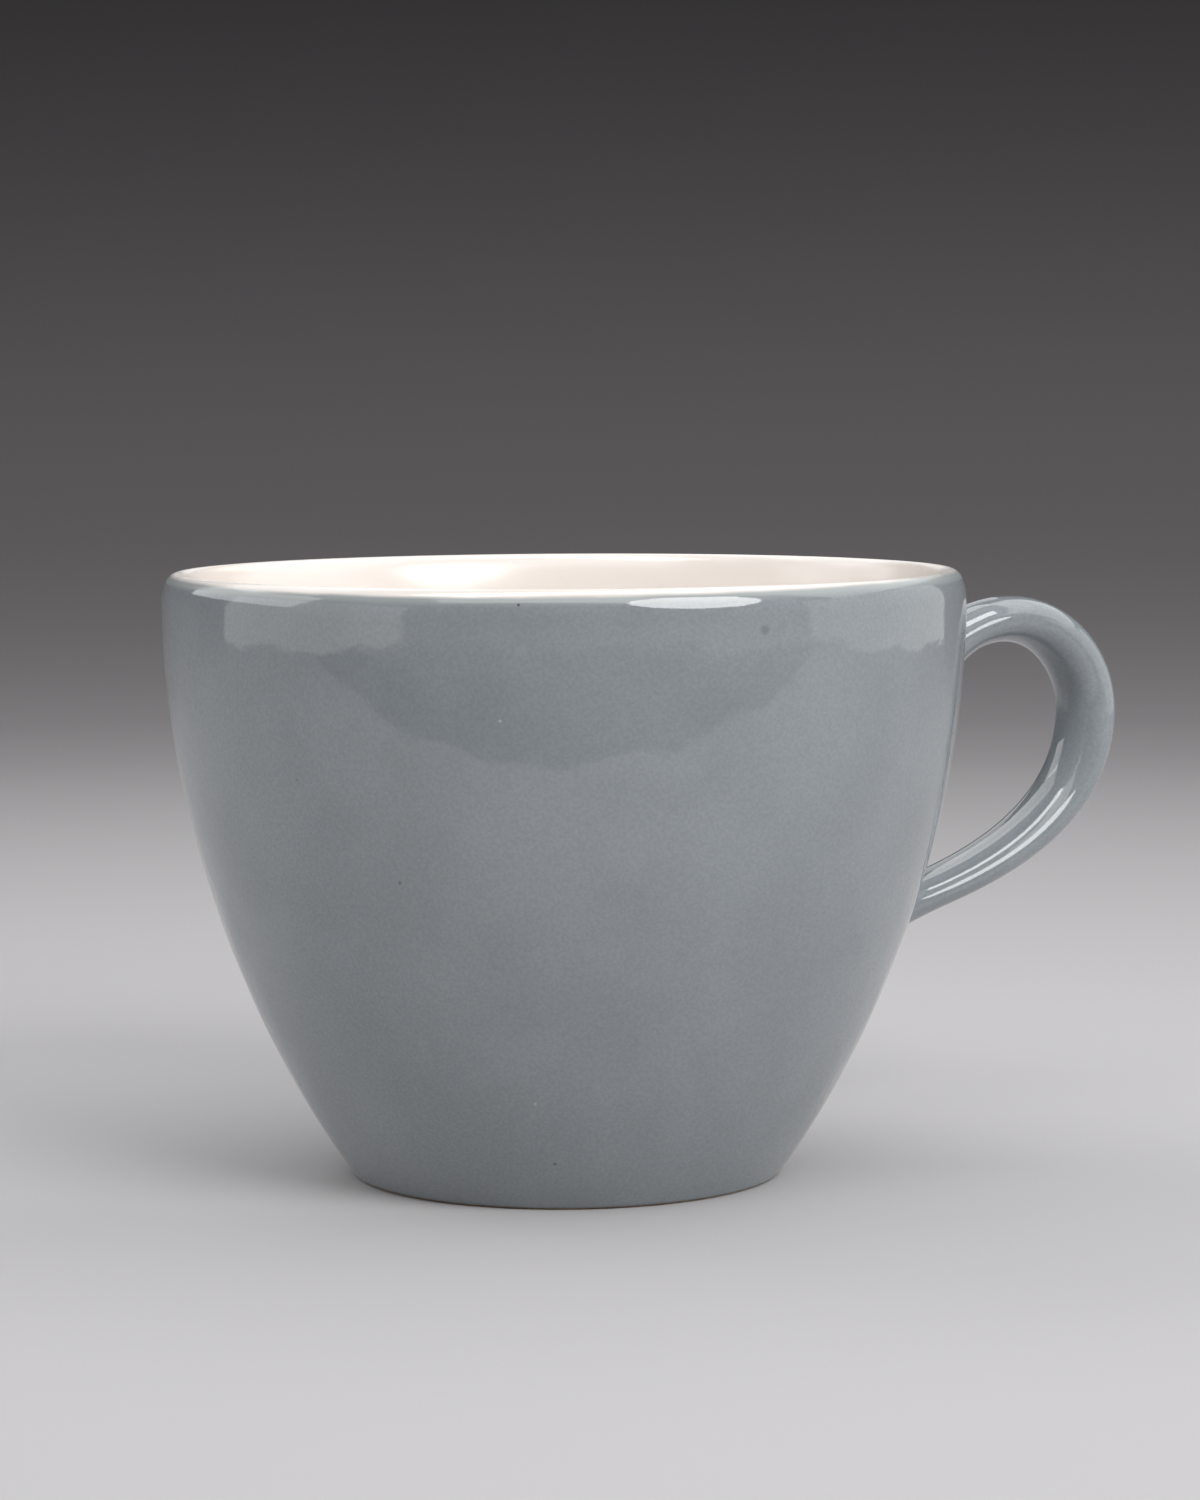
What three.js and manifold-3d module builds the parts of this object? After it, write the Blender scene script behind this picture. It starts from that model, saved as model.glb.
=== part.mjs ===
// Coffee mug in glazed earthenware: millimetres, +Z up, standing on Z = 0, strap handle towards +X.
// A cast clay body on a foot ring and a cast strap handle are luted together with slip. A blue-grey glaze
// coats the outside and the strap, a cream glaze lines the inside and the lip, and a cream coat lies in
// the recess under the base.
import * as THREE from "three";
import { mergeVertices } from "three/addons/utils/BufferGeometryUtils.js";
import Module from "manifold-3d";

// Body, measured over the glaze
const rimDiameter = 100;
const mugHeight = 75.6;
const footDiameter = 56.9; // where the wall leaves the foot
const footEdgeHeight = 2.5; // height of that ring above the table
const wallFlareAngle = 34.5; // lean of the wall at the foot, degrees from upright
const wallFlareReach = 16.1; // how far that lean carries up the wall
const wallUprightReach = 30.5; // how far the upright stretch carries down from the lip
const lipShoulderWidth = 1.6; // outer rounding of the lip
const lipShoulderHeight = 3.2;

// Body, bare clay
const wallThickness = 3.8;
const lipInsideDepth = 10; // how far down from its crown the lip thins inside
const floorThickness = 4.6;
const floorFilletRise = 10; // rounding between the floor and the wall inside
const footRestDiameter = 52.6; // outer edge of the face that it stands on
const footRingWidth = 3.6;
const footRecessDepth = 1.8;

// Glaze
const glazeThickness = 0.3;
const glazeSeamDrop = 0.9; // the two glazes meet this far under the crown of the lip
const bareFootHeight = 0.6; // clay stays bare this far up from the table

// Strap handle, measured over the glaze
const strapWidth = 9.7;
const strapThickness = 4.85;
const strapSwell = 2.1; // added thickness at the bend
const strapSwellPlace = 0.41; // middle of the swell, as a share of the strap's length
const strapSwellSpread = 0.27;
const upperRootDrop = 14.9; // middle of the upper root, below the rim
const rootSpacing = 31.15; // from the upper root down to the lower one
const bendDrop = 5.2; // the outermost point, below the upper root
const bendProjection = 26.7; // middle of the strap at that point, out from the rim
const upperRootRise = 42; // degrees above level at which the strap leaves the wall
const lowerRootRise = 13.5;
const upperRootReach = 21.35; // how far each of those directions carries along the strap
const lowerRootReach = 13.7;
const bendReachUp = 8.4; // how far the upright stretch carries above and below the outermost point
const bendReachDown = 16.9;
const upperRootFlare = 3.6; // added width and thickness at the wall
const lowerRootFlare = 1.7;
const rootFlareLength = 4; // distance over which a flare fades
const rootRun = 4.6; // straight run from the last full section to the wall

// Luting and fits
const slipThickness = 0.8;
const clearance = 0.3;

// Fineness of the facets
const turnSteps = 40;
const wallSteps = 9;
const roundSteps = 3;
const strapSides = 16;
const strapSteps = 28;
const halvings = 40;

const clay = { color: 0xd6c4a8, roughness: 0.9, metalness: 0 };
const slip = { color: 0xcdbb9f, roughness: 0.95, metalness: 0 };
const blueGreyGlaze = { color: 0x7f8b90, roughness: 0.15, metalness: 0 };
const creamGlaze = { color: 0xf1e8e0, roughness: 0.15, metalness: 0 };

const wasm = await Module();
wasm.setup();

// A closed geometry as a solid that can be cut.
function toSolid(geometry) {
  const bare = new THREE.BufferGeometry().setAttribute("position", geometry.getAttribute("position"));
  bare.setIndex(geometry.index);
  const merged = mergeVertices(bare);
  const vertProperties = merged.getAttribute("position").array;
  const triVerts = new Uint32Array(merged.index.array);
  return new wasm.Manifold(new wasm.Mesh({ numProp: 3, vertProperties, triVerts }));
}

function toGeometry(solid) {
  const { vertProperties, triVerts } = solid.getMesh();
  const geometry = new THREE.BufferGeometry();
  geometry.setAttribute("position", new THREE.BufferAttribute(vertProperties, 3));
  geometry.setIndex(new THREE.BufferAttribute(triVerts, 1));
  return geometry;
}

// The value between two limits at which a test turns from true to false.
function turningPoint(test, low, high) {
  for (let i = 0; i < halvings; i++) {
    const middle = (low + high) / 2;
    if (test(middle)) low = middle;
    else high = middle;
  }
  return high;
}

// Points of a curve between two of its parameters.
function stretchOf(curve, from, to, steps) {
  return Array.from({ length: steps + 1 }, (_, i) => curve.getPoint(from + ((to - from) * i) / steps));
}

// Joins stretches of an outline end to end, each starting where the last one ended.
function joined(...stretches) {
  return stretches.flatMap((stretch, i) => (i === 0 ? stretch : stretch.slice(1)));
}

// An outline moved out from the clay by a distance, to the right of its direction of travel.
function coated(outline, distance) {
  return outline.map((point, i) => {
    const before = outline[Math.max(i - 1, 0)];
    const after = outline[Math.min(i + 1, outline.length - 1)];
    const along = after.clone().sub(before).normalize();
    return new THREE.Vector2(point.x + along.y * distance, point.y - along.x * distance);
  });
}

// A profile of radius and height turned about the mug's axis.
function turned(profile) {
  return new THREE.LatheGeometry(profile, turnSteps).rotateX(Math.PI / 2);
}

// Foot of the body: a rounded edge from the face that it stands on up to the wall.
const lean = THREE.MathUtils.degToRad(wallFlareAngle);
const restEdge = new THREE.Vector2(footRestDiameter / 2, 0);
const footEdge = new THREE.Vector2(footDiameter / 2 - glazeThickness, footEdgeHeight);
const footCorner = new THREE.Vector2(footEdge.x - footEdgeHeight * Math.tan(lean), 0);
const footCurve = new THREE.QuadraticBezierCurve(restEdge, footCorner, footEdge);
const glazeLine = Math.sqrt(bareFootHeight / footEdgeHeight); // where the foot curve reaches that height

// Outside wall: it leaves the foot at its lean and ends upright under the lip.
const clayRimRadius = rimDiameter / 2 - glazeThickness;
const shoulderHeight = mugHeight - glazeThickness - lipShoulderHeight;
const wallTop = new THREE.Vector2(clayRimRadius, shoulderHeight);
const wallCurve = new THREE.CubicBezierCurve(
  footEdge,
  new THREE.Vector2(Math.sin(lean), Math.cos(lean)).multiplyScalar(wallFlareReach).add(footEdge),
  new THREE.Vector2(wallTop.x, wallTop.y - wallUprightReach),
  wallTop,
);

// Lip outside: a quarter oval up to the crown. The glazes meet on it.
const crown = new THREE.Vector2(clayRimRadius - lipShoulderWidth, shoulderHeight + lipShoulderHeight);
const seamAngle = Math.asin(1 - glazeSeamDrop / lipShoulderHeight);
function lipArc(from, to) {
  const [width, height] = [lipShoulderWidth, lipShoulderHeight];
  return new THREE.EllipseCurve(crown.x, shoulderHeight, width, height, from, to).getPoints(roundSteps);
}

// Inside wall: it keeps the wall's thickness from under the lip down to a rounding, which runs level into
// the floor.
function innerPoint(t) {
  const along = wallCurve.getTangent(t);
  const outward = new THREE.Vector2(along.y, -along.x);
  return wallCurve.getPoint(t).addScaledVector(outward, -wallThickness);
}
const lipHeight = crown.y - lipInsideDepth;
const lipEnd = turningPoint((t) => innerPoint(t).y < lipHeight, 0, 1);
const floorHeight = footRecessDepth + floorThickness;
const filletHeight = floorHeight + floorFilletRise;
const filletStart = turningPoint((t) => innerPoint(t).y < filletHeight, 0, 1);
const innerWall = Array.from({ length: wallSteps + 1 }, (_, i) => {
  return innerPoint(THREE.MathUtils.lerp(lipEnd, filletStart, i / wallSteps));
});

// Lip inside: from level at the crown into the line of the inside wall.
const lipSlope = wallCurve.getTangent(lipEnd);
const lipCorner = innerWall[0].clone().addScaledVector(lipSlope, lipInsideDepth / lipSlope.y);
const lipInside = new THREE.QuadraticBezierCurve(crown, lipCorner, innerWall[0]);

// Rounding of the floor: from the line of the inside wall to level.
const filletTop = innerWall.at(-1);
const filletSlope = wallCurve.getTangent(filletStart);
const filletRun = floorFilletRise / filletSlope.y;
const filletCorner = filletTop.clone().addScaledVector(filletSlope, -filletRun);
const filletEnd = new THREE.Vector2(filletCorner.x - filletRun, floorHeight);
const filletCurve = new THREE.QuadraticBezierCurve(filletTop, filletCorner, filletEnd);

// Clay outline of the body from the foot to the middle of the floor, split where each glaze starts.
const bareFoot = stretchOf(footCurve, 0, glazeLine, roundSteps);
const coatedOutside = joined(
  stretchOf(footCurve, glazeLine, 1, roundSteps),
  wallCurve.getPoints(wallSteps),
  lipArc(0, seamAngle),
);
const linedInside = joined(
  lipArc(seamAngle, Math.PI / 2),
  lipInside.getPoints(2 * roundSteps),
  innerWall,
  filletCurve.getPoints(2 * roundSteps),
  [filletEnd, new THREE.Vector2(0, floorHeight)],
);

// Recess under the base: its wall leans in as far as it is deep.
const ringInnerRadius = footRestDiameter / 2 - footRingWidth;
const recessRadius = ringInnerRadius - footRecessDepth;
const recess = [
  new THREE.Vector2(0, footRecessDepth),
  new THREE.Vector2(recessRadius, footRecessDepth),
  new THREE.Vector2(ringInnerRadius, 0),
  restEdge,
];
const bodyGeometry = turned(joined(recess, bareFoot, coatedOutside, linedInside));

// The two coats lie on the clay and share one glaze surface, which is split at the seam.
const glazeSurface = coated(joined(coatedOutside, linedInside), glazeThickness);
const glazeOutside = glazeSurface.slice(0, coatedOutside.length);
const glazeInside = glazeSurface.slice(coatedOutside.length - 1);
const outerCoat = turned([...glazeOutside, ...coatedOutside.toReversed(), glazeOutside[0]]);
const innerGlazeGeometry = turned([...linedInside.toReversed(), ...glazeInside]);
const baseGlazeRadius = recessRadius - clearance;
const baseGlazeGeometry = turned([
  new THREE.Vector2(0, footRecessDepth - glazeThickness),
  new THREE.Vector2(baseGlazeRadius, footRecessDepth - glazeThickness),
  new THREE.Vector2(baseGlazeRadius, footRecessDepth),
  new THREE.Vector2(0, footRecessDepth),
]);

// Radius of the bare outside wall at a height.
function wallRadius(height) {
  const above = coatedOutside.findIndex((point) => point.y > height);
  const i = above < 0 ? coatedOutside.length - 1 : Math.max(above, 1);
  const low = coatedOutside[i - 1];
  const high = coatedOutside[i];
  return THREE.MathUtils.mapLinear(height, low.y, high.y, low.x, high.x);
}

// Path of the strap: out of the wall at the upper root, round its outermost point, back at the lower root.
const upperRootHeight = mugHeight - upperRootDrop;
const lowerRootHeight = upperRootHeight - rootSpacing;
function rootPoint(height) {
  return new THREE.Vector3(wallRadius(height) + glazeThickness, 0, height);
}
function rootReach(root, rise, reach) {
  const angle = THREE.MathUtils.degToRad(rise);
  return new THREE.Vector3(Math.cos(angle), 0, Math.sin(angle)).multiplyScalar(reach).add(root);
}
const upperRoot = rootPoint(upperRootHeight);
const lowerRoot = rootPoint(lowerRootHeight);
const bend = new THREE.Vector3(rimDiameter / 2 + bendProjection, 0, upperRootHeight - bendDrop);
const strapPath = new THREE.CurvePath();
strapPath.add(
  new THREE.CubicBezierCurve3(
    upperRoot,
    rootReach(upperRoot, upperRootRise, upperRootReach),
    new THREE.Vector3(bend.x, 0, bend.z + bendReachUp),
    bend,
  ),
);
strapPath.add(
  new THREE.CubicBezierCurve3(
    bend,
    new THREE.Vector3(bend.x, 0, bend.z - bendReachDown),
    rootReach(lowerRoot, lowerRootRise, lowerRootReach),
    lowerRoot,
  ),
);
const strapLength = strapPath.getLength();

// Half sizes of the strap's clay at a distance along the path, in the plane of the loop and across it.
function strapHalfSizes(distance) {
  const upper = upperRootFlare * Math.exp(-distance / rootFlareLength);
  const lower = lowerRootFlare * Math.exp((distance - strapLength) / rootFlareLength);
  const place = (distance / strapLength - strapSwellPlace) / strapSwellSpread;
  const thickness = strapThickness + strapSwell * Math.exp(-place * place) + upper + lower;
  const width = strapWidth + upper + lower;
  return [thickness / 2 - glazeThickness, width / 2 - glazeThickness];
}

// An oval section of the strap, grown by a skin over the clay. Its last point is its middle.
function strapRing(distance, skin) {
  const middle = strapPath.getPointAt(distance / strapLength);
  const along = strapPath.getTangentAt(distance / strapLength);
  const across = new THREE.Vector3(0, 1, 0);
  const outward = along.clone().cross(across);
  const [halfThickness, halfWidth] = strapHalfSizes(distance);
  const ring = Array.from({ length: strapSides }, (_, i) => {
    const angle = (2 * Math.PI * i) / strapSides;
    return middle
      .clone()
      .addScaledVector(outward, (halfThickness + skin) * Math.cos(angle))
      .addScaledVector(across, (halfWidth + skin) * Math.sin(angle));
  });
  return [...ring, middle];
}

// Full sections of the strap between its two root runs.
function strapRings(skin) {
  return Array.from({ length: strapSteps + 1 }, (_, i) => {
    return strapRing(THREE.MathUtils.lerp(rootRun, strapLength - rootRun, i / strapSteps), skin);
  });
}

// The last full section carried along straight lines to the wall, to end at a stand-off from its clay.
function rootRing(isLower, nearSkin, rootSkin, standOff) {
  const near = strapRing(isLower ? strapLength - rootRun : rootRun, nearSkin);
  const root = strapRing(isLower ? strapLength : 0, rootSkin);
  return near.map((start, i) => {
    const run = root[i].clone().sub(start);
    const pointAt = (share) => start.clone().addScaledVector(run, share);
    const isClear = (share) => {
      const { x, y, z } = pointAt(share);
      return Math.hypot(x, y) > wallRadius(z) + standOff;
    };
    return pointAt(turningPoint(isClear, 0, 3));
  });
}

// A closed surface through rings of points, capped at both ends.
function skinned(rings) {
  const stride = strapSides + 1;
  const lastRing = (rings.length - 1) * stride;
  const index = [];
  for (let i = 0; i < strapSides; i++) {
    const j = (i + 1) % strapSides;
    index.push(strapSides, i, j);
    for (let here = 0; here < lastRing; here += stride) {
      const next = here + stride;
      index.push(here + i, next + i, here + j, here + j, next + i, next + j);
    }
    index.push(lastRing + strapSides, lastRing + j, lastRing + i);
  }
  const positions = rings.flat().flatMap((point) => point.toArray());
  const geometry = new THREE.BufferGeometry();
  geometry.setAttribute("position", new THREE.Float32BufferAttribute(positions, 3));
  geometry.setIndex(index);
  return geometry;
}

// The whole strap under a skin, from one stand-off at the wall round to the other.
function strapGeometry(skin, rootSkin, standOff) {
  const upper = rootRing(false, skin, rootSkin, standOff);
  const lower = rootRing(true, skin, rootSkin, standOff);
  return skinned([upper, ...strapRings(skin), lower]);
}

// A pad between two stand-offs from the wall, on the outline of a root.
function rootPad(isLower, rootSkin, from, to) {
  const rings = [rootRing(isLower, 0, rootSkin, from), rootRing(isLower, 0, rootSkin, to)];
  return skinned(isLower ? rings.reverse() : rings);
}

// Stand-offs from the wall's clay: the slip, the strap's clay on it, the strap's glaze on the outer coat.
const slipFoot = clearance;
const slipTop = slipFoot + slipThickness;
const strapFoot = slipTop + clearance;
const strapGlazeFoot = glazeThickness + clearance;
const slipInset = -clearance / 2;

const handleGeometry = strapGeometry(0, slipInset, strapFoot);

// The strap's coat is what its glazed form has outside its clay, which runs on through the coat's ends.
const strapCore = toSolid(strapGeometry(0, 0, -wallThickness / 2));
const glazedStrap = toSolid(strapGeometry(glazeThickness, glazeThickness, strapGlazeFoot));
const handleGlaze = glazedStrap.subtract(strapCore);

// The outer coat is open where the slip of each root reaches the clay.
const outerGlaze = [false, true].reduce((coat, isLower) => {
  return coat.subtract(toSolid(rootPad(isLower, -slipInset, -wallThickness / 2, strapFoot)));
}, toSolid(outerCoat));

const mug = new THREE.Group();
const pieces = new THREE.Group();
mug.add(pieces);
function addPiece(name, geometry, finish) {
  const piece = new THREE.Mesh(geometry, new THREE.MeshStandardMaterial(finish));
  piece.name = name;
  pieces.add(piece);
}
addPiece("body", bodyGeometry, clay);
addPiece("handle", handleGeometry, clay);
addPiece("upper_slip", rootPad(false, slipInset, slipFoot, slipTop), slip);
addPiece("lower_slip", rootPad(true, slipInset, slipFoot, slipTop), slip);
addPiece("outer_glaze", toGeometry(outerGlaze), blueGreyGlaze);
addPiece("inner_glaze", innerGlazeGeometry, creamGlaze);
addPiece("handle_glaze", toGeometry(handleGlaze), blueGreyGlaze);
addPiece("base_glaze", baseGlazeGeometry, creamGlaze);

// The origin lies on the table under the middle of the whole mug, strap included.
const extent = new THREE.Box3().setFromObject(pieces);
pieces.position.x = -(extent.min.x + extent.max.x) / 2;

export default mug;
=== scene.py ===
import math
import bmesh
import bpy
import numpy as np
from mathutils import Matrix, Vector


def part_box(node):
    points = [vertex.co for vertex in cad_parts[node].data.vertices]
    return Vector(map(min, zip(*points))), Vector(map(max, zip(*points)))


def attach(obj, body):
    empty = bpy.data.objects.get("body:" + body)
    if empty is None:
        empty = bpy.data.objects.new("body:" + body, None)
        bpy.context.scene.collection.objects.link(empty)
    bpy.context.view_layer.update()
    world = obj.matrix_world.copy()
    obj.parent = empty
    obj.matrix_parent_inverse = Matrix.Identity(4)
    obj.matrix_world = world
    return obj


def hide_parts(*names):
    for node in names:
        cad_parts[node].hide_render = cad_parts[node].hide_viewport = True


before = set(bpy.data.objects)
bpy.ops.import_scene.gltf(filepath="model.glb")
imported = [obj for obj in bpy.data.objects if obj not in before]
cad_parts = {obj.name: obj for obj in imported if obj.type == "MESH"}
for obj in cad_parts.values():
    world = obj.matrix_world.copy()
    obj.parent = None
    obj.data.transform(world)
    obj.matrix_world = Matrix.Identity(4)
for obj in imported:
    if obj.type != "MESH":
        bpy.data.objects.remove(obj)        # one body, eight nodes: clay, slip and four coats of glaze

scene = bpy.context.scene
scene.view_settings.view_transform = "Standard"
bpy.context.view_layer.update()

# the mug's axis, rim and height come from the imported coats
coatLow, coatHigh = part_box("outer_glaze")
_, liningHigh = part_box("inner_glaze")
axisX = (coatLow.x + coatHigh.x) / 2
rimRadius = (coatHigh.y - coatLow.y) / 2
mugHeight = liningHigh.z
mergeDistance = 1e-7                          # points nearer than this are one
sharpAngle = math.radians(50)                 # edges that turn by more than this stay crisp
print("frame loaded, rim radius", round(rimRadius, 4), "height", round(mugHeight, 4))


# Stretches of an outline take their count of steps first.
# Bezier curve: each point weighted by comb(n, i) t^i (1 - t)^(n - i).
def bezier(steps, *points):
    t = np.linspace(0, 1, steps + 1)[:, None]
    n = len(points) - 1
    weights = [math.comb(n, i) * t**i * (1 - t) ** (n - i) for i in range(n + 1)]
    return sum(w * np.array(p) for w, p in zip(weights, points))


# Part of an oval: centre + (width cos a, height sin a), a running from start to end.
def ovalArc(steps, centre, width, height, start, end):
    a = np.linspace(start, end, steps + 1)
    return np.stack([centre[0] + width * np.cos(a), centre[1] + height * np.sin(a)], 1)


# Straight stretch between two points, ends included.
def straight(steps, start, end):
    t = np.linspace(0, 1, steps + 1)[:, None]
    return (1 - t) * np.array(start) + t * np.array(end)


# Stretches of an outline end to end, each without the point it shares with the last one.
def joined(*stretches):
    return np.concatenate([stretches[0]] + [s[1:] for s in stretches[1:]])


# Unit normals on the right of an outline's travel: its tangent (dr, dz) turned to (dz, -dr).
def rightOf(outline):
    d = np.gradient(outline, axis=0)
    n = np.stack([d[:, 1], -d[:, 0]], 1)
    return n / np.linalg.norm(n, axis=1, keepdims=True)


# Smooth rise from 0 to 1 between two values: 3 t^2 - 2 t^3.
def smoothRise(value, low, high):
    t = np.clip((value - low) / (high - low), 0, 1)
    return t * t * (3 - 2 * t)


# Merges the points that meet on the axis, so that a pole is one point.
def sealPoles(mesh):
    work = bmesh.new()
    work.from_mesh(mesh)
    bmesh.ops.remove_doubles(work, verts=work.verts, dist=mergeDistance)
    work.to_mesh(mesh)
    work.free()


# Mesh of a grid of points (rows, columns, xyz). Columns close on themselves, rows only in a ring.
def gridMesh(name, points, material, ring=False):
    rows, columns, _ = points.shape
    index = np.arange(rows * columns).reshape(rows, columns)
    if ring:
        index = np.concatenate([index, index[:1]])
    nextColumn = np.roll(index, -1, axis=1)
    quads = np.stack([index[:-1], nextColumn[:-1], nextColumn[1:], index[1:]], -1).reshape(-1, 4)
    mesh = bpy.data.meshes.new(name)
    mesh.from_pydata(points.reshape(-1, 3).tolist(), [], quads.tolist())
    mesh.materials.append(material)
    sealPoles(mesh)
    mesh.polygons.foreach_set("use_smooth", np.ones(len(mesh.polygons), bool))
    return mesh


# Puts a mesh into the scene as an object of the same name.
def placed(mesh):
    thing = bpy.data.objects.new(mesh.name, mesh)
    scene.collection.objects.link(thing)
    return thing


# A piece of the mug from a grid of points, on the root and in place of its CAD nodes.
def gridPiece(name, points, material, nodes, ring=False):
    mesh = gridMesh(name, points, material, ring)
    mesh.set_sharp_from_angle(angle=sharpAngle)
    piece = placed(mesh)
    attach(piece, "root")
    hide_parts(*nodes)
    print("made", name, len(mesh.polygons), "faces")


# Profile turned about the mug's axis: (r, z) at angle a goes to (axis + r cos a, r sin a, z).
# A swell of the same rows and columns moves each point along the profile's normal.
def turned(profile, steps, normal=None, swell=None):
    a = np.linspace(0, 2 * np.pi, steps, endpoint=False)[None, :]
    r = profile[:, :1] + 0 * a
    z = profile[:, 1:] + 0 * a
    if swell is not None:
        r = r + normal[:, :1] * swell
        z = z + normal[:, 1:] * swell
    return np.stack([axisX + r * np.cos(a), r * np.sin(a), z], -1)


# Colour written as 0 to 255 display values, turned into the linear values that a socket takes.
def shade(red, green, blue):
    c = np.array([red, green, blue]) / 255
    linear = np.where(c <= 0.04045, c / 12.92, ((c + 0.055) / 1.055) ** 2.4)
    return (*linear.tolist(), 1.0)


# Adds a node, with its settings and its inputs. An input is a value, or an output to link.
def node(tree, kind, inputs, **settings):
    made = tree.nodes.new(kind)
    for key, value in settings.items():
        setattr(made, key, value)
    for key, value in inputs.items():
        if isinstance(value, bpy.types.NodeSocket):
            tree.links.new(value, made.inputs[key])
        else:
            made.inputs[key].default_value = value
    return made


# New material, with its tree, its shader and the place read in the object's own frame.
def newFinish(name):
    material = bpy.data.materials.new(name)
    material.use_nodes = True
    tree = material.node_tree
    place = node(tree, "ShaderNodeTexCoord", {}).outputs["Object"]
    return material, tree, tree.nodes["Principled BSDF"], place


usual = (0.3, 0.7)                            # most of a noise lies between these


# Soft noise about 0.5 at a place: its scale is in waves to the metre, its detail in finer layers.
def noise(tree, place, scale, detail=2.0, roughness=0.5):
    inputs = {"Vector": place, "Scale": scale, "Detail": detail, "Roughness": roughness}
    return node(tree, "ShaderNodeTexNoise", inputs).outputs["Fac"]


# Value carried from one range to another, held at the ends and eased between them.
def eased(tree, value, low, high, start=0.0, end=1.0):
    inputs = {0: value, 1: low, 2: high, 3: start, 4: end}
    return node(tree, "ShaderNodeMapRange", inputs, interpolation_type="SMOOTHSTEP").outputs[0]


# Two colours mixed: (1 - share) first + share second.
def blendColour(tree, share, first, second):
    return node(tree, "ShaderNodeMix", {0: share, 6: first, 7: second}, data_type="RGBA").outputs[2]


# One operation, by its name, on two values.
def sums(tree, operation, first, second):
    return node(tree, "ShaderNodeMath", {0: first, 1: second}, operation=operation).outputs[0]


# Raises a surface by a height times a depth, in its shading alone.
def raised(tree, shader, height, depth):
    bump = node(tree, "ShaderNodeBump", {"Strength": 1.0, "Distance": depth, "Height": height})
    tree.links.new(bump.outputs[0], shader.inputs["Normal"])


# Colour with sparse round specks. A cell holds one where its chance is over the rarity, larger towards 1.
def withSpecks(tree, place, colour, s):
    cells = node(tree, "ShaderNodeTexVoronoi", {"Vector": place, "Scale": s["scale"]})
    chance = node(tree, "ShaderNodeSeparateColor", {0: cells.outputs["Color"]}).outputs[0]
    size = eased(tree, chance, s["rarity"], 1.0, 0.0, s["size"])
    speck = sums(tree, "LESS_THAN", cells.outputs["Distance"], size)
    return blendColour(tree, sums(tree, "MULTIPLY", speck, s["share"]), colour, s["colour"])


# Gloss of a glaze: its roughness wanders between two values, and a faint peel ripples it.
def glazeGloss(tree, shader, place, g):
    rough = eased(tree, noise(tree, place, g["roughScale"], 3), *usual, *g["rough"])
    tree.links.new(rough, shader.inputs["Roughness"])
    raised(tree, shader, noise(tree, place, g["peelScale"], 2), g["peel"])
    shader.inputs["IOR"].default_value = g["ior"]


# A place's distance from the mug's axis, its bearing round it and its height.
def roundAxis(tree, place):
    split = node(tree, "ShaderNodeSeparateXYZ", {0: place}).outputs
    x = sums(tree, "SUBTRACT", split["X"], axisX)
    flat = node(tree, "ShaderNodeCombineXYZ", {"X": x, "Y": split["Y"]}).outputs[0]
    ring = node(tree, "ShaderNodeVectorMath", {0: flat}, operation="LENGTH").outputs["Value"]
    return ring, sums(tree, "ARCTAN2", split["Y"], x), split["Z"]


lip = dict(
    crown=0.0019, inward=0.0008,              # from the rim in to the crown, and on to plain cream
    creamEnd=0.0005, sway=0.0004, swayBearing=math.radians(-128),
    wander=0.00005, wanderScale=120, change=0.0005, fade=0.0010,
    creamBody=shade(241, 234, 228), thin=shade(163, 168, 168),
)


# Colour over the lip by the drop below its crown: cream, then a thin pale coat, then the full colour.
# The cream ends at creamEnd + sway cos 2 (bearing - swayBearing). Well within a ring all is cream.
def overLip(tree, place, creamColour, fullColour, within):
    g = lip
    ring, bearing, height = roundAxis(tree, place)
    outside = eased(tree, ring, within - g["inward"], within)
    drop = sums(tree, "SUBTRACT", mugHeight, height)
    turns = sums(tree, "MULTIPLY", sums(tree, "SUBTRACT", bearing, g["swayBearing"]), 2.0)
    swayed = sums(tree, "MULTIPLY", sums(tree, "COSINE", turns, 0.0), g["sway"])
    wander = eased(tree, noise(tree, place, g["wanderScale"], 2), *usual, -g["wander"], g["wander"])
    past = sums(tree, "SUBTRACT", sums(tree, "SUBTRACT", drop, swayed), wander)
    past = sums(tree, "MULTIPLY", past, outside)
    thinFrom = g["creamEnd"] - g["change"] / 2
    fullFrom = g["creamEnd"] + g["change"] / 2
    toThin = eased(tree, past, thinFrom, fullFrom)
    toFull = eased(tree, past, fullFrom, fullFrom + g["fade"])
    thinned = blendColour(tree, toFull, g["thin"], fullColour)
    return blendColour(tree, toThin, creamColour, thinned)


blueGrey = dict(
    deep=shade(138, 144, 148), pale=shade(143, 149, 153),
    cloudScale=70, clouds=(0.35, 0.65), grainScale=2600, grainDepth=0.06,
    specks=dict(scale=170, rarity=0.82, size=0.03, share=0.55, colour=shade(70, 72, 74)),
    rough=(0.04, 0.07), roughScale=320, peel=0.00001, peelScale=700, ior=1.62,
)


# flecks of the firing on the wall: bearing round the axis in degrees, height, size, colour and its share
flecks = [
    dict(bearing=-121.5, height=0.0739, size=0.00022, colour=shade(66, 66, 68), share=0.8),
    dict(bearing=-88.2, height=0.0706, size=0.0008, colour=shade(112, 118, 122), share=0.55),
    dict(bearing=-140.2, height=0.0414, size=0.00028, colour=shade(82, 84, 86), share=0.6),
    dict(bearing=-118.3, height=0.0064, size=0.00030, colour=shade(80, 80, 82), share=0.6),
    dict(bearing=-124.1, height=0.0607, size=0.00022, colour=shade(200, 203, 203), share=0.6),
    dict(bearing=-121.6, height=0.0144, size=0.00022, colour=shade(196, 199, 199), share=0.6),
]
fleckCore = 0.4                               # share of a fleck's size that has its full colour


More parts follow.
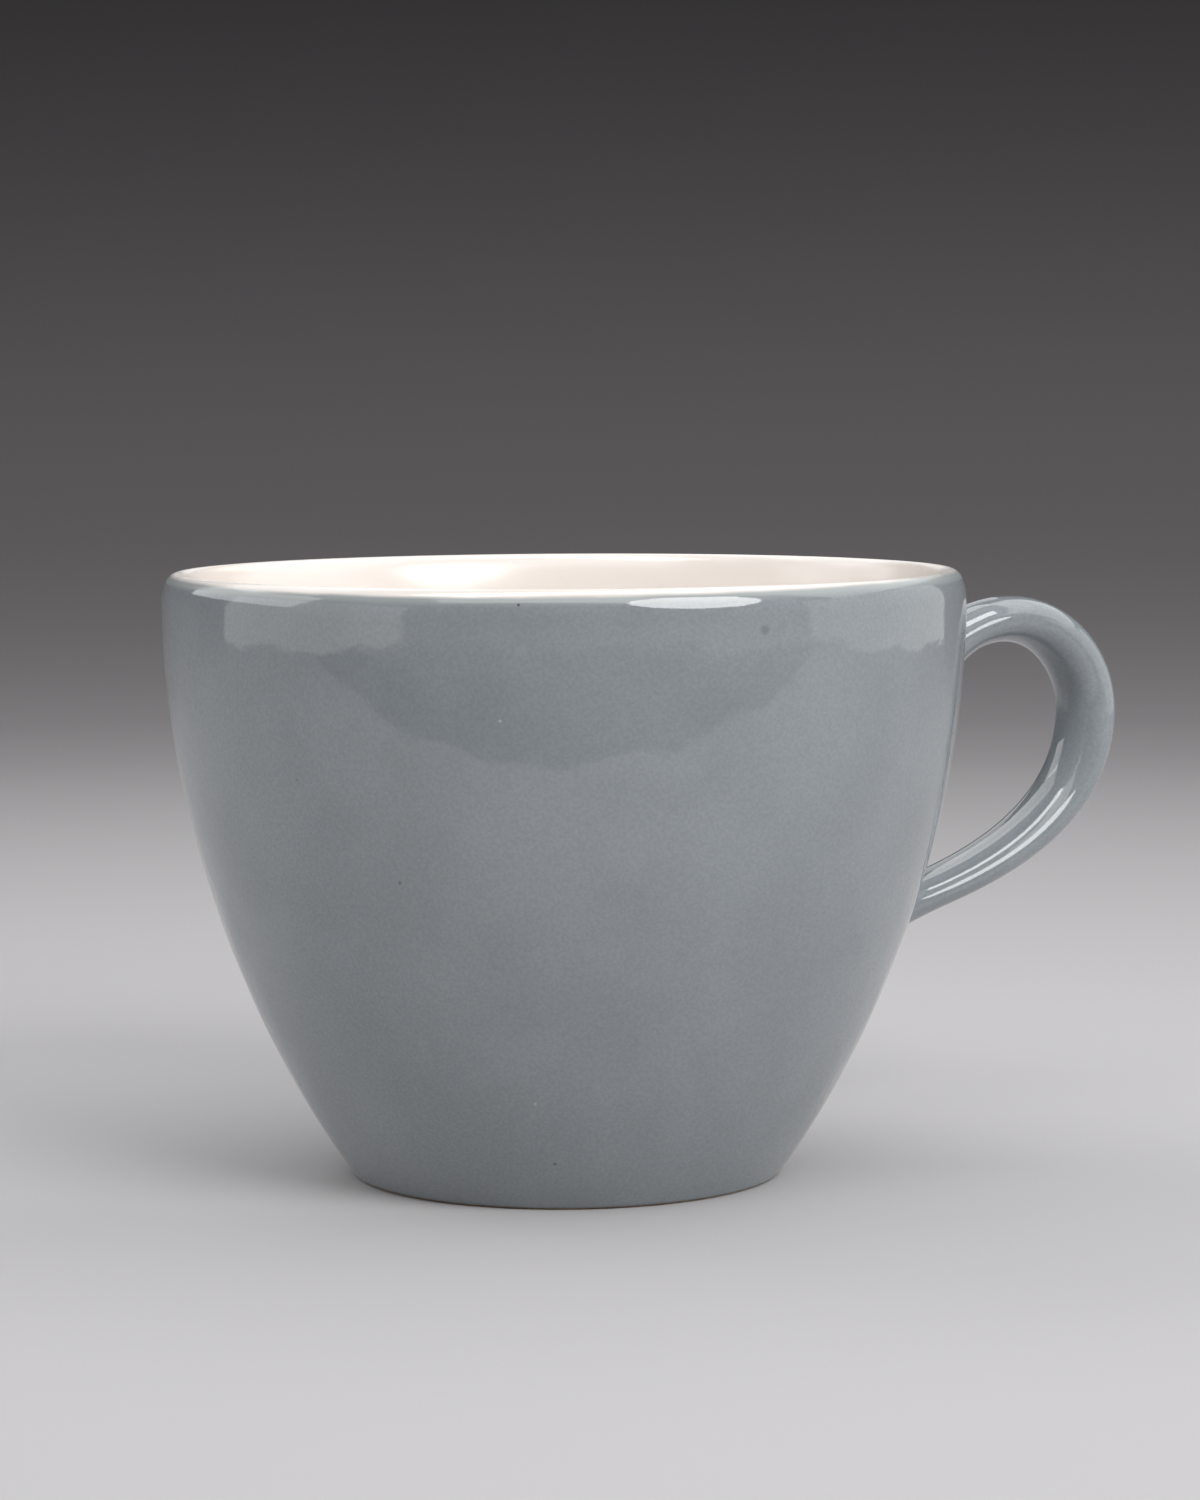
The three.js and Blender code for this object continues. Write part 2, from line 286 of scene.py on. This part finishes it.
# Colour with the flecks: each fades out with the root of (arc^2 + rise^2) from its middle.
def withFlecks(tree, place, colour):
    ring, bearing, height = roundAxis(tree, place)
    for fleck in flecks:
        swing = sums(tree, "SUBTRACT", bearing, math.radians(fleck["bearing"]))
        arc = sums(tree, "MULTIPLY", swing, ring)
        rise = sums(tree, "SUBTRACT", height, fleck["height"])
        offset = node(tree, "ShaderNodeCombineXYZ", {"X": arc, "Y": rise}).outputs[0]
        away = node(tree, "ShaderNodeVectorMath", {0: offset}, operation="LENGTH").outputs["Value"]
        share = eased(tree, away, fleckCore * fleck["size"], fleck["size"], fleck["share"], 0.0)
        colour = blendColour(tree, share, colour, fleck["colour"])
    return colour


# Blue-grey glaze: slow clouds between two greys, fine grain and sparse dark specks, pale where it thins
# at the lip.
def blueGreyFinish():
    g = blueGrey
    material, tree, shader, place = newFinish("blueGreyGlaze")
    clouds = eased(tree, noise(tree, place, g["cloudScale"], 4), *g["clouds"])
    colour = blendColour(tree, clouds, g["deep"], g["pale"])
    grain = noise(tree, place, g["grainScale"], 2)
    level = eased(tree, grain, *usual, 1 - g["grainDepth"], 1 + g["grainDepth"])
    inputs = {0: 1.0, 6: colour, 7: level}
    colour = node(tree, "ShaderNodeMix", inputs, data_type="RGBA", blend_type="MULTIPLY").outputs[2]
    colour = withSpecks(tree, place, colour, g["specks"])
    colour = withFlecks(tree, place, overLip(tree, place, lip["creamBody"], colour, 0.0))
    tree.links.new(colour, shader.inputs["Base Color"])
    glazeGloss(tree, shader, place, g)
    return material


cream = dict(
    body=lip["creamBody"], warm=shade(236, 226, 217), cloudScale=45, clouds=(0.4, 0.75),
    pinholes=dict(scale=240, rarity=0.9, size=0.04, share=0.4, colour=shade(170, 140, 112)),
    rough=(0.16, 0.22), roughScale=300, peel=0.00001, peelScale=600, ior=1.5,
)


# Cream glaze: warm clouds in a pinkish white and fine pinholes, grey where it thins over the lip.
def creamFinish():
    g = cream
    material, tree, shader, place = newFinish("creamGlaze")
    clouds = eased(tree, noise(tree, place, g["cloudScale"], 4), *g["clouds"])
    colour = blendColour(tree, clouds, g["body"], g["warm"])
    colour = withSpecks(tree, place, colour, g["pinholes"])
    colour = overLip(tree, place, colour, blueGrey["pale"], rimRadius - lip["crown"])
    tree.links.new(colour, shader.inputs["Base Color"])
    glazeGloss(tree, shader, place, g)
    return material


bareClay = dict(
    buff=shade(205, 178, 146), dark=shade(172, 138, 104), cloudScale=120, clouds=(0.35, 0.7),
    grog=shade(120, 92, 68), grogScale=900, grogSize=(0.05, 0.3), grogShare=0.5,
    rough=(0.78, 0.92), tooth=0.00006, toothScale=1800,
)


# Bare clay: buff with darker grog grains and a dry, toothed surface.
def clayFinish():
    g = bareClay
    material, tree, shader, place = newFinish("bareClay")
    clouds = eased(tree, noise(tree, place, g["cloudScale"], 5, 0.6), *g["clouds"])
    colour = blendColour(tree, clouds, g["buff"], g["dark"])
    cells = node(tree, "ShaderNodeTexVoronoi", {"Vector": place, "Scale": g["grogScale"]})
    grog = eased(tree, cells.outputs["Distance"], *g["grogSize"], g["grogShare"], 0.0)
    colour = blendColour(tree, grog, colour, g["grog"])
    tree.links.new(colour, shader.inputs["Base Color"])
    tree.links.new(eased(tree, clouds, 0, 1, *g["rough"]), shader.inputs["Roughness"])
    raised(tree, shader, noise(tree, place, g["toothScale"], 4, 0.6), g["tooth"])
    return material


blueGreyGlaze = blueGreyFinish()
creamGlaze = creamFinish()
clay = clayFinish()
print("finishes made")

body = dict(
    footRadius=0.02845, footEdge=0.0025,      # ring where the wall leaves the foot, over the glaze
    flareAngle=34.5, flareReach=0.0161,       # lean of the wall there, and how far it carries up
    uprightReach=0.0305,                      # how far the upright stretch carries down from the lip
    lipWidth=0.0016, lipHeight=0.0032,        # outer rounding of the lip
    thickness=0.0038, lipInside=0.010,        # wall, and how far down the lip thins inside
    glaze=0.0003, seamDrop=0.0009,            # coats, and the drop from the crown to their seam
    bareFoot=0.00022, roll=0.0007,            # bare clay over the table, and the coat's rolled edge
    floorHeight=0.0064, floorRise=0.010,      # floor inside, and the rounding up to the wall
    restRadius=0.0263, ringWidth=0.0036, recessDepth=0.0018,
    ease=0.0006, slant=0.7,                   # easing of the ring's edges, and its share along the slope
    turns=240, wave=0.000012,                 # sections round the mug, and depth of its slow waves
    waveStart=(0.003, 0.012), waveEnd=(0.006, 0.0035),      # heights from the table, drops from the crown
)


# Clay outline of the body in radius and height, cut where each coat starts:
# bare foot, coated outside, lined inside.
def clayOutline(b):
    lean = math.radians(b["flareAngle"])
    footEdge = np.array([b["footRadius"] - b["glaze"], b["footEdge"]])
    corner = [footEdge[0] - b["footEdge"] * math.tan(lean), 0]
    foot = bezier(40, [b["restRadius"], 0], corner, footEdge)
    glazeLine = np.searchsorted(foot[:, 1], b["bareFoot"])
    top = np.array([rimRadius - b["glaze"], mugHeight - b["glaze"] - b["lipHeight"]])
    flare = footEdge + b["flareReach"] * np.array([math.sin(lean), math.cos(lean)])
    outside = bezier(96, footEdge, flare, top - [0, b["uprightReach"]], top)
    crown = [top[0] - b["lipWidth"], top[1]]
    seam = math.asin(1 - b["seamDrop"] / b["lipHeight"])
    shoulder = ovalArc(14, crown, b["lipWidth"], b["lipHeight"], 0, seam)
    crest = ovalArc(10, crown, b["lipWidth"], b["lipHeight"], seam, np.pi / 2)
    crownTop = np.array([crown[0], crown[1] + b["lipHeight"]])
    inside = (outside - b["thickness"] * rightOf(outside))[::-1]
    inside = inside[inside[:, 1] > b["floorHeight"] + b["floorRise"]]
    inside = inside[inside[:, 1] < crownTop[1] - b["lipInside"]]
    upSlope = (inside[0] - inside[1]) / (inside[0, 1] - inside[1, 1])
    foldCorner = inside[0] + upSlope * (crownTop[1] - inside[0, 1])
    fold = bezier(30, crownTop, foldCorner, inside[0])
    slope = (inside[-1] - inside[-2]) / np.linalg.norm(inside[-1] - inside[-2])
    run = (inside[-1, 1] - b["floorHeight"]) / -slope[1]
    bottom = inside[-1] + run * slope
    fillet = bezier(24, inside[-1], bottom, bottom - [run, 0])
    floor = straight(16, fillet[-1], [0, b["floorHeight"]])
    bare = foot[: glazeLine + 1]
    coated = joined(foot[glazeLine:], outside, shoulder)
    lined = joined(crest, fold, inside, fillet, floor)
    return bare, coated, lined


bareFoot, coatedOutside, linedInside = clayOutline(body)
wholeCoat = joined(coatedOutside, linedInside)
coatNormal = rightOf(wholeCoat)
coatNormal[-1] = [0, 1]
seamRow = len(coatedOutside) - 1


# waves of the coat: how many round the mug, how fast they run up it, share and start
coatWaves = [
    dict(round=23, up=210, share=1.0, start=0.0),
    dict(round=-31, up=390, share=0.8, start=1.1),
    dict(round=14, up=-520, share=0.9, start=2.3),
    dict(round=41, up=760, share=0.6, start=0.4),
]


# Slow waves of a poured coat: the sum of share * sin(round a + up z + start), faded out at foot and lip.
# Each has a whole number round the mug, so that it closes.
def slowWaves(rows):
    a = np.linspace(0, 2 * np.pi, body["turns"], endpoint=False)[None, :]
    z = rows[:, 1:]
    waves = sum(w["share"] * np.sin(w["round"] * a + w["up"] * z + w["start"]) for w in coatWaves)
    endFrom, endTo = body["waveEnd"]
    fade = smoothRise(z, *body["waveStart"]) * (1 - smoothRise(z, mugHeight - endFrom, mugHeight - endTo))
    return body["wave"] * waves * fade


# Thickness of the outer coat: full on the wall, rolled to nothing at the glaze line as a quarter oval.
def outerThickness(rows):
    steps = np.linalg.norm(np.diff(rows, axis=0), axis=1)
    along = np.concatenate([[0], np.cumsum(steps)])
    t = np.clip(along / body["roll"], 0, 1)
    return body["glaze"] * np.sqrt(1 - (1 - t) ** 2)


# Outer coat: the clay outline moved out by the coat's thickness, closed along the clay.
def outerCoat():
    rows = coatedOutside
    normal = coatNormal[: seamRow + 1]
    surface = turned(rows + normal * outerThickness(rows)[:, None], body["turns"], normal, slowWaves(rows))
    back = turned(np.concatenate([rows[1::3], rows[-1:]])[::-1], body["turns"])
    grid = np.concatenate([surface, back])
    gridPiece("outer_coat", grid, blueGreyGlaze, ["outer_glaze"], ring=True)


# Lining: crest of the lip, inside wall and floor, from the seam to the axis, closed along the clay.
def lining():
    normal = coatNormal[seamRow:]
    surface = turned(linedInside + normal * body["glaze"], body["turns"])
    back = turned(np.concatenate([linedInside[:-1:3], linedInside[-1:]])[::-1], body["turns"])
    grid = np.concatenate([surface, back])
    gridPiece("lining", grid, creamGlaze, ["inner_glaze"], ring=True)


# Clay body: recess, foot ring with eased edges, outside, lip, inside and floor, from axis to axis.
def clayBody():
    b = body
    ringInner = b["restRadius"] - b["ringWidth"]
    depth = b["recessDepth"]
    recessRadius = ringInner - depth
    ease = b["ease"]
    slant = b["slant"] * ease
    roof = straight(12, [0, depth], [recessRadius - ease, depth])
    upper = bezier(6, roof[-1], [recessRadius, depth], [recessRadius + slant, depth - slant])
    lower = bezier(6, [ringInner - slant, slant], [ringInner, 0], [ringInner + ease, 0])
    slope = straight(4, upper[-1], lower[0])
    rest = straight(6, lower[-1], bareFoot[0])
    outline = joined(roof, upper, slope, lower, rest, bareFoot, coatedOutside, linedInside)
    gridPiece("clay_body", turned(outline, b["turns"]), clay, ["body"])


# Coat under the base: a shallow pool in the recess, its edge rolled as a quarter oval.
def baseCoat():
    low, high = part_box("base_glaze")
    radius = (high.x - low.x) / 2
    depth = high.z - low.z
    edge = ovalArc(10, [radius - depth, high.z], depth, depth, -np.pi / 2, 0)
    pool = joined(straight(16, [0, low.z], edge[0]), edge, straight(8, edge[-1], [0, high.z]))
    gridPiece("base_coat", turned(pool, body["turns"]), creamGlaze, ["base_glaze"])


outerCoat()
lining()
clayBody()
baseCoat()

strap = dict(
    width=0.0097, thickness=0.00485,          # across the loop, and in its plane
    swell=0.0021, swellPlace=0.41, swellSpread=0.27,        # place and spread as shares of the path
    upperDrop=0.0149, rootSpacing=0.03115,    # upper root below the crown, lower root below that
    bendDrop=0.0052, bendOut=0.0267,          # outermost point, below the upper root and past the rim
    upperRise=42, lowerRise=13.5, upperReach=0.02135, lowerReach=0.0137, bendUp=0.0084, bendDown=0.0169,
    upperFlare=0.0062, lowerFlare=0.0032, flareLength=0.012, flareAcross=0.6,
    rootRun=0.0046, upperFillet=0.0026, lowerFillet=0.0024, leadShare=0.85,
    sink=0.00006,                             # how far the fillets end under the wall's surface
    railLimit=0.03, halvings=50,              # longest rail to a wall, and steps of the search for its end
    pathSteps=400, sides=96, sections=150, filletRows=24, runRows=4, innerEvery=6,
)

coatOutline = coatedOutside + coatNormal[: seamRow + 1] * outerThickness(coatedOutside)[:, None]


# Radius of the glazed wall at a height, read along the coat's outline.
def wallRadius(z):
    return np.interp(z, coatOutline[:, 1], coatOutline[:, 0])


# Unit direction outward that rises by some degrees.
def rising(degrees):
    angle = math.radians(degrees)
    return np.array([math.cos(angle), math.sin(angle)])


# Middle line of the strap: two Bezier curves that meet upright at its outermost point.
# Gives the distance of each of its points along it, and the points.
def strapPath(s):
    upperZ = mugHeight - s["upperDrop"]
    lowerZ = upperZ - s["rootSpacing"]
    upper = np.array([wallRadius(upperZ), upperZ])
    lower = np.array([wallRadius(lowerZ), lowerZ])
    bend = np.array([rimRadius + s["bendOut"], upperZ - s["bendDrop"]])
    upperLead = upper + s["upperReach"] * rising(s["upperRise"])
    lowerLead = lower + s["lowerReach"] * rising(s["lowerRise"])
    out = bezier(s["pathSteps"], upper, upperLead, bend + [0, s["bendUp"]], bend)
    back = bezier(s["pathSteps"], bend, bend - [0, s["bendDown"]], lowerLead, lower)
    line = joined(out, back)
    along = np.concatenate([[0], np.cumsum(np.linalg.norm(np.diff(line, axis=0), axis=1))])
    return along, line


pathAlong, pathLine = strapPath(strap)
pathLength = pathAlong[-1]
pathSlope = np.gradient(pathLine, pathAlong, axis=0)


# Values of the middle line, two to a point, read between its points at distances along it.
def alongPath(distance, values):
    return np.stack([np.interp(distance, pathAlong, values[:, i]) for i in (0, 1)], 1)


# Oval sections of the strap at distances along its middle line, less a skin:
# middle + outward * half thickness * cos a + across * half width * sin a. Near a root both grow
# with the square of what is left of the flare's length.
def strapSections(distance, skin):
    s = strap
    middle = alongPath(distance, pathLine)
    slope = alongPath(distance, pathSlope)
    slope /= np.linalg.norm(slope, axis=1, keepdims=True)
    outward = np.stack([-slope[:, 1], slope[:, 0]], 1)
    fromUpper = np.clip(1 - distance / s["flareLength"], 0, 1)
    fromLower = np.clip(1 - (pathLength - distance) / s["flareLength"], 0, 1)
    flare = s["upperFlare"] * fromUpper**2 + s["lowerFlare"] * fromLower**2
    place = (distance / pathLength - s["swellPlace"]) / s["swellSpread"]
    halfThick = (s["thickness"] + s["swell"] * np.exp(-place**2) + flare) / 2 - skin
    halfWide = (s["width"] + s["flareAcross"] * flare) / 2 - skin
    a = np.linspace(0, 2 * np.pi, s["sides"], endpoint=False)[None, :]
    x = middle[:, :1] + outward[:, :1] * halfThick[:, None] * np.cos(a)
    z = middle[:, 1:] + outward[:, 1:] * halfThick[:, None] * np.cos(a)
    y = halfWide[:, None] * np.sin(a)
    return np.stack([x, y, z], -1)


# Rails of a root: the last full section runs straight on through the section at the path's end, until it
# meets the glazed wall, found by halving. Gives the section, the meeting points and the rails' directions.
def rootRails(distance, towards, skin):
    ends = strapSections(np.array([distance, distance + towards * strap["rootRun"]]), skin)
    start = ends[0]
    rail = (ends[1] - ends[0]) / np.linalg.norm(ends[1] - ends[0], axis=1, keepdims=True)
    low = np.zeros(len(start))
    high = np.full(len(start), strap["railLimit"])
    for halving in range(strap["halvings"]):
        half = (low + high) / 2
        p = start + rail * half[:, None]
        outside = np.hypot(p[:, 0], p[:, 1]) > wallRadius(p[:, 2])
        low = np.where(outside, half, low)
        high = np.where(outside, high, half)
    return start, start + rail * high[:, None], rail


# Points of the wall at an angle and a height, sunk a little under its surface.
def onWall(angle, z, sink):
    r = wallRadius(z) - sink
    return np.stack([r * np.cos(angle), r * np.sin(angle), z], 1)


# Root of the strap: each rail bends into the wall as a Bezier curve whose middle point is where they meet,
# and which ends on the wall a fillet's width further out.
def rootRows(distance, towards, fillet):
    start, meet, rail = rootRails(distance, towards, 0)
    angle = np.arctan2(meet[:, 1], meet[:, 0])
    away = np.stack([angle * rimRadius, meet[:, 2] - meet[:, 2].mean()], 1)
    away /= np.linalg.norm(away, axis=1, keepdims=True)
    r = wallRadius(meet[:, 2])
    end = onWall(angle + fillet * away[:, 0] / r, meet[:, 2] + fillet * away[:, 1], strap["sink"])
    reach = np.minimum(strap["leadShare"] * np.linalg.norm(meet - start, axis=1), fillet)[:, None]
    lead = meet - rail * reach
    t = np.linspace(0, 1, strap["filletRows"] + 1)[:, None, None]
    bend = (1 - t) ** 2 * lead + 2 * t * (1 - t) * meet + t**2 * end
    run = np.linspace(0, 1, strap["runRows"], endpoint=False)[1:, None, None]
    return np.concatenate([(1 - run) * start + run * lead, bend])


# Strap coat: fillets and sections over the clay, closed by the clay's own surface inside.
def strapCoat():
    s = strap
    full = np.linspace(s["rootRun"], pathLength - s["rootRun"], s["sections"] + 1)
    few = full[:: s["innerEvery"]]
    upper = rootRows(s["rootRun"], -1, s["upperFillet"])[::-1]
    lower = rootRows(pathLength - s["rootRun"], 1, s["lowerFillet"])
    skin = body["glaze"]
    innerUpper = rootRails(s["rootRun"], -1, skin)[1]
    innerLower = rootRails(pathLength - s["rootRun"], 1, skin)[1]
    inner = np.concatenate([innerUpper[None], strapSections(few, skin), innerLower[None]])[::-1]
    grid = np.concatenate([upper, strapSections(full, 0), lower, inner])[:, ::-1]
    grid = grid + np.array([axisX, 0, 0])
    gridPiece("strap_coat", grid, blueGreyGlaze, ["handle_glaze"], ring=True)


strapCoat()
# the strap's clay and its slips stay as the CAD has them, under the coat
for name in ("handle", "upper_slip", "lower_slip"):
    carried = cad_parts[name]
    carried.data.materials.clear()
    carried.data.materials.append(clay)

# camera of the photograph, in metres from the mug's axis and degrees; focal length and picture in pixels
shot = dict(
    turn=26.0, side=0.00436, back=0.52687, height=0.09959, pitch=5.052, roll=0.308,
    focal=4226.5, pictureTall=1500, clipStart=0.01,
)
turn = math.radians(shot["turn"])
pitch = math.radians(shot["pitch"])
roll = math.radians(shot["roll"])
ahead = np.array([math.sin(turn), math.cos(turn), 0])
rightward = np.array([math.cos(turn), -math.sin(turn), 0])


# Place on the table's plan: so far to the camera's right, so far towards it, so high.
def stagePoint(side, near, height):
    p = rightward * side - ahead * near
    return np.array([axisX + p[0], p[1], height])


cameraData = bpy.data.cameras.new("camera")
camera = bpy.data.objects.new("camera", cameraData)
scene.collection.objects.link(camera)
scene.camera = camera
cameraData.lens = shot["focal"] * cameraData.sensor_width / shot["pictureTall"]
cameraData.clip_start = shot["clipStart"]
look = math.cos(pitch) * ahead - math.sin(pitch) * np.array([0, 0, 1])
upward = math.sin(pitch) * ahead + math.cos(pitch) * np.array([0, 0, 1])
cameraRight = math.cos(roll) * rightward - math.sin(roll) * upward
cameraUp = math.cos(roll) * upward + math.sin(roll) * rightward
axes = np.stack([cameraRight, cameraUp, -look], 1)
cameraPlace = Matrix.Translation(stagePoint(shot["side"], shot["back"], shot["height"]))
camera.matrix_world = cameraPlace @ Matrix(axes).to_4x4()
print("camera placed")

stageSet = dict(
    floorRadius=0.6, sweep=1.2, wallTop=2.2, floorShade=shade(191, 189, 190),
    # painted shade: the mid and far shades darken the paper with distance, in place of the light's falloff
    paintedFalloffMid=shade(97, 94, 95), midFrom=0.03, midTo=0.97,
    paintedFalloffFar=shade(54, 52, 53), farFrom=1.0, farTo=1.6,
    # painted dark reflection: a dark sheet seen only in the glaze, in place of the unlit room
    darkSheetShade=shade(40, 40, 42), clothFrom=0.188, clothTo=1.0, clothSide=1.0, clothHeight=0.0005,
    skyShade=shade(200, 202, 206), skyLevel=0.9,
)


# Floor and backdrop in one: a disc that sweeps up all round as a quarter circle and runs on upright.
# Its colour darkens with the distance from the mug's axis: painted shade, in place of the light that falls
# off away from the mug.
def floorAndBackdrop():
    g = stageSet
    flat = straight(30, [0, 0], [g["floorRadius"], 0])
    curve = ovalArc(24, [g["floorRadius"], g["sweep"]], g["sweep"], g["sweep"], -np.pi / 2, 0)
    profile = joined(flat, curve, straight(6, curve[-1], [curve[-1][0], g["wallTop"]]))
    material, tree, shader, place = newFinish("paperPaintedFalloff")
    ring = roundAxis(tree, place)[0]
    # painted shade: the paper darkens with its distance from the axis
    colour = blendColour(tree, eased(tree, ring, g["midFrom"], g["midTo"]), g["floorShade"], g["paintedFalloffMid"])
    colour = blendColour(tree, eased(tree, ring, g["farFrom"], g["farTo"]), colour, g["paintedFalloffFar"])
    tree.links.new(colour, shader.inputs["Base Color"])
    shader.inputs["Roughness"].default_value = 0.9
    shader.inputs["Specular IOR Level"].default_value = 0.1
    paper = placed(gridMesh("paper", turned(profile, 128), material))


# Dark sheet past the table's near edge, in place of the unlit room: it shows only in the glaze's
# reflections, as a painted dark reflection.
def darkReflectionSheet():
    g = stageSet
    side = g["clothSide"]
    plan = ((-side, g["clothFrom"]), (side, g["clothFrom"]), (side, g["clothTo"]), (-side, g["clothTo"]))
    corners = [stagePoint(x, y, g["clothHeight"]).tolist() for x, y in plan]
    mesh = bpy.data.meshes.new("darkReflectionSheet")
    mesh.from_pydata(corners, [], [(0, 1, 2, 3)])
    material, _, shader, _ = newFinish("darkReflectionSheet")
    shader.inputs["Base Color"].default_value = g["darkSheetShade"]
    shader.inputs["Roughness"].default_value = 1.0
    shader.inputs["Specular IOR Level"].default_value = 0.0
    mesh.materials.append(material)
    darkSheet = placed(mesh)
    darkSheet.visible_camera = False
    darkSheet.visible_diffuse = False
    darkSheet.visible_shadow = False


# Soft light: a rectangle or a disc at a place on the plan and a height, facing a point of the mug's axis.
# Its level is the brightness that its face shows, its spin turns it about its own beam, and a light for
# gloss only shows in reflections alone.
def softLight(
    name, side, near, height, width, tall, level,
    shape="RECTANGLE", aimHeight=0.06, spin=0.0, glossOnly=False,
):
    place = stagePoint(side, near, height)
    data = bpy.data.lights.new(name, "AREA")
    data.shape = shape
    data.size = width
    data.size_y = tall
    share = 1.0 if shape == "RECTANGLE" else math.pi / 4      # of the width times the height
    data.energy = level * math.pi * width * tall * share
    lamp = bpy.data.objects.new(name, data)
    scene.collection.objects.link(lamp)
    back = place - np.array([axisX, 0, aimHeight])
    back /= np.linalg.norm(back)
    across = np.cross([0, 0, 1], back)
    across /= np.linalg.norm(across)
    over = np.cross(back, across)
    aimed = Matrix(np.stack([across, over, back], 1)) @ Matrix.Rotation(math.radians(spin), 3, "Z")
    lamp.matrix_world = Matrix.Translation(place) @ aimed.to_4x4()
    lamp.visible_camera = False
    lamp.visible_diffuse = not glossOnly


# Place on the plan at a bearing (degrees to the camera's right) and a distance from the axis.
def onBearing(bearing, distance):
    b = math.radians(bearing)
    return distance * math.sin(b), distance * math.cos(b)


floorAndBackdrop()
# painted dark reflection: a sheet seen only in the glaze's reflections
darkReflectionSheet()
# lights as the glaze mirrors them: low panels at both sides, a key, a strip overhead and soft fills
sidePanel = dict(height=0.13, width=0.76, tall=0.40, level=0.8, aimHeight=0.13)
softLight("leftPanel", *onBearing(-75, 0.62), **sidePanel)
softLight("rightPanel", *onBearing(102, 0.62), **sidePanel)
softLight("keyDisc", *onBearing(40, 0.80), height=0.55, width=0.60, tall=0.50, level=7.4, shape="ELLIPSE")
softLight("topStrip", -0.05, 0.11, height=0.80, width=0.74, tall=0.26, level=7.0, spin=56, glossOnly=True)
softLight("leftSoft", *onBearing(-106, 0.86), height=0.45, width=0.90, tall=0.40, level=1.8)
softLight("rightSoft", *onBearing(120, 0.67), height=0.73, width=1.3, tall=0.67, level=1.45)
softLight("backSoft", *onBearing(-142, 0.70), height=0.78, width=1.1, tall=0.45, level=1.8)
softLight("frontSoft", *onBearing(-8, 0.71), height=0.90, width=1.0, tall=0.50, level=1.9)
softLight("backLow", *onBearing(-177, 1.0), height=0.42, width=0.36, tall=0.40, level=0.75, glossOnly=True)

world = bpy.data.worlds.new("studio")
scene.world = world
world.use_nodes = True
sky = world.node_tree.nodes["Background"]
sky.inputs["Color"].default_value = stageSet["skyShade"]
sky.inputs["Strength"].default_value = stageSet["skyLevel"]
print("stage set")
